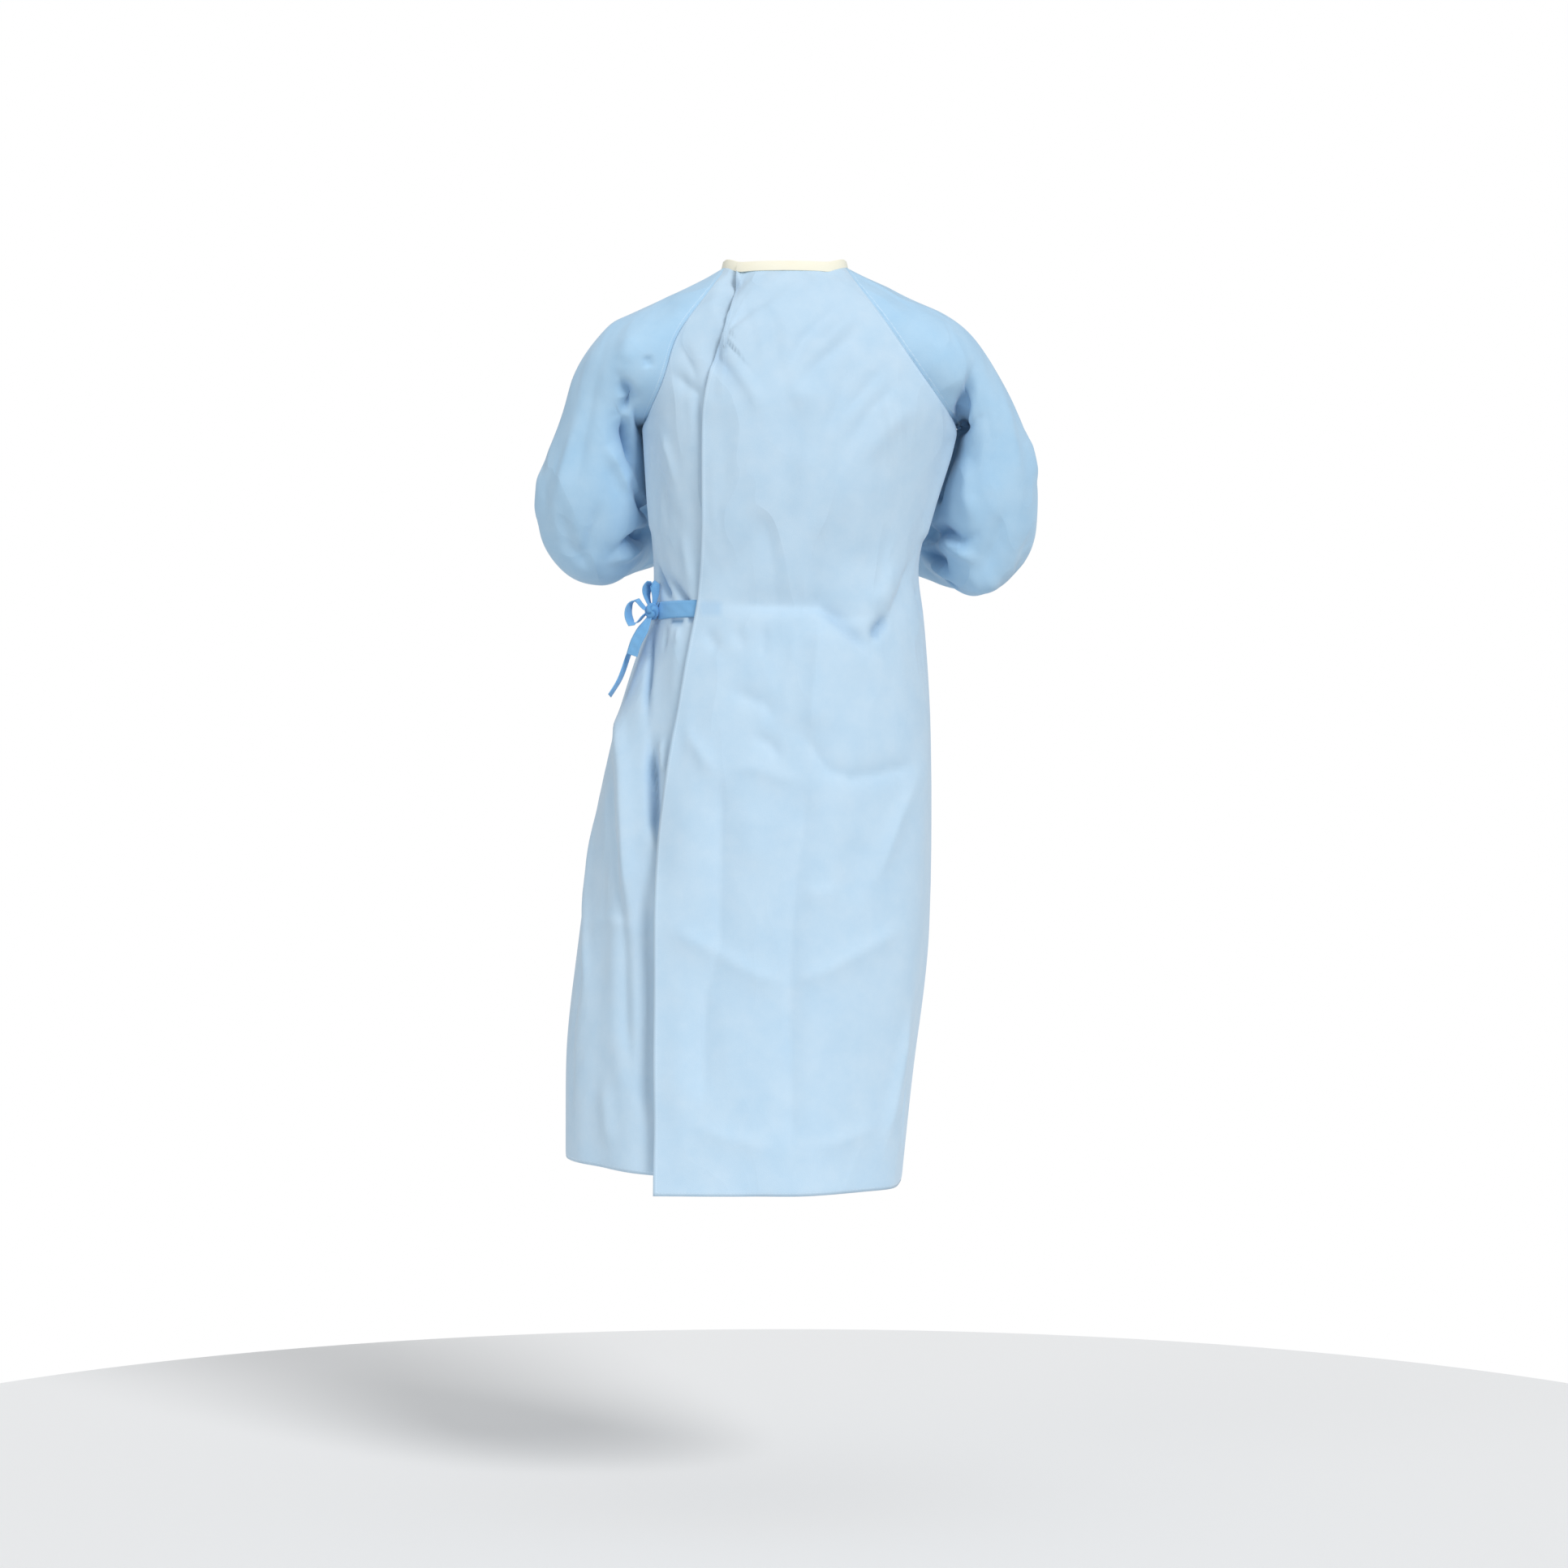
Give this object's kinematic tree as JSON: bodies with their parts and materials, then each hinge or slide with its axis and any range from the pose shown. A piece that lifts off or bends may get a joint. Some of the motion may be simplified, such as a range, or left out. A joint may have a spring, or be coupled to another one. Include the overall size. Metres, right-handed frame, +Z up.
{
  "type": "surgical gown",
  "caption": "Hollow worn back-wrap surgical gown with raglan sleeves bent forward, knitted cuffs, bound neck and a waist tie bowed at the left, open at neck, hem and cuffs",
  "frame": {"origin": "middle of the neck opening, level with the top of the binding at the back, where the gown hangs from the neck and shoulders", "axes": "+Z up, +Y out of the wearer's front, +X to the wearer's right; the wrapped back faces -Y"},
  "size_m": [0.6478, 0.5092, 1.1823],
  "materials": {
    "body_cloth": "matt bonded nonwoven",
    "sleeve_cloth": "matt bonded nonwoven",
    "cuff_knit": "ribbed knit",
    "binding": "matt woven tape",
    "tie_cloth": "matt bonded nonwoven"
  },
  "bodies": {
    "root": {"front_panel": "body_cloth", "back_panel_left": "body_cloth", "back_panel_right": "body_cloth", "sleeve_left": "sleeve_cloth", "sleeve_right": "sleeve_cloth", "cuff_left": "cuff_knit", "cuff_right": "cuff_knit", "neck_binding": "binding", "tie_back": "tie_cloth", "tie_front": "tie_cloth", "tie_knot": "tie_cloth", "tie_loop_side": "tie_cloth", "tie_loop_up": "tie_cloth", "tie_end_short": "tie_cloth", "tie_end_long": "tie_cloth"}
  },
  "joints": []
}
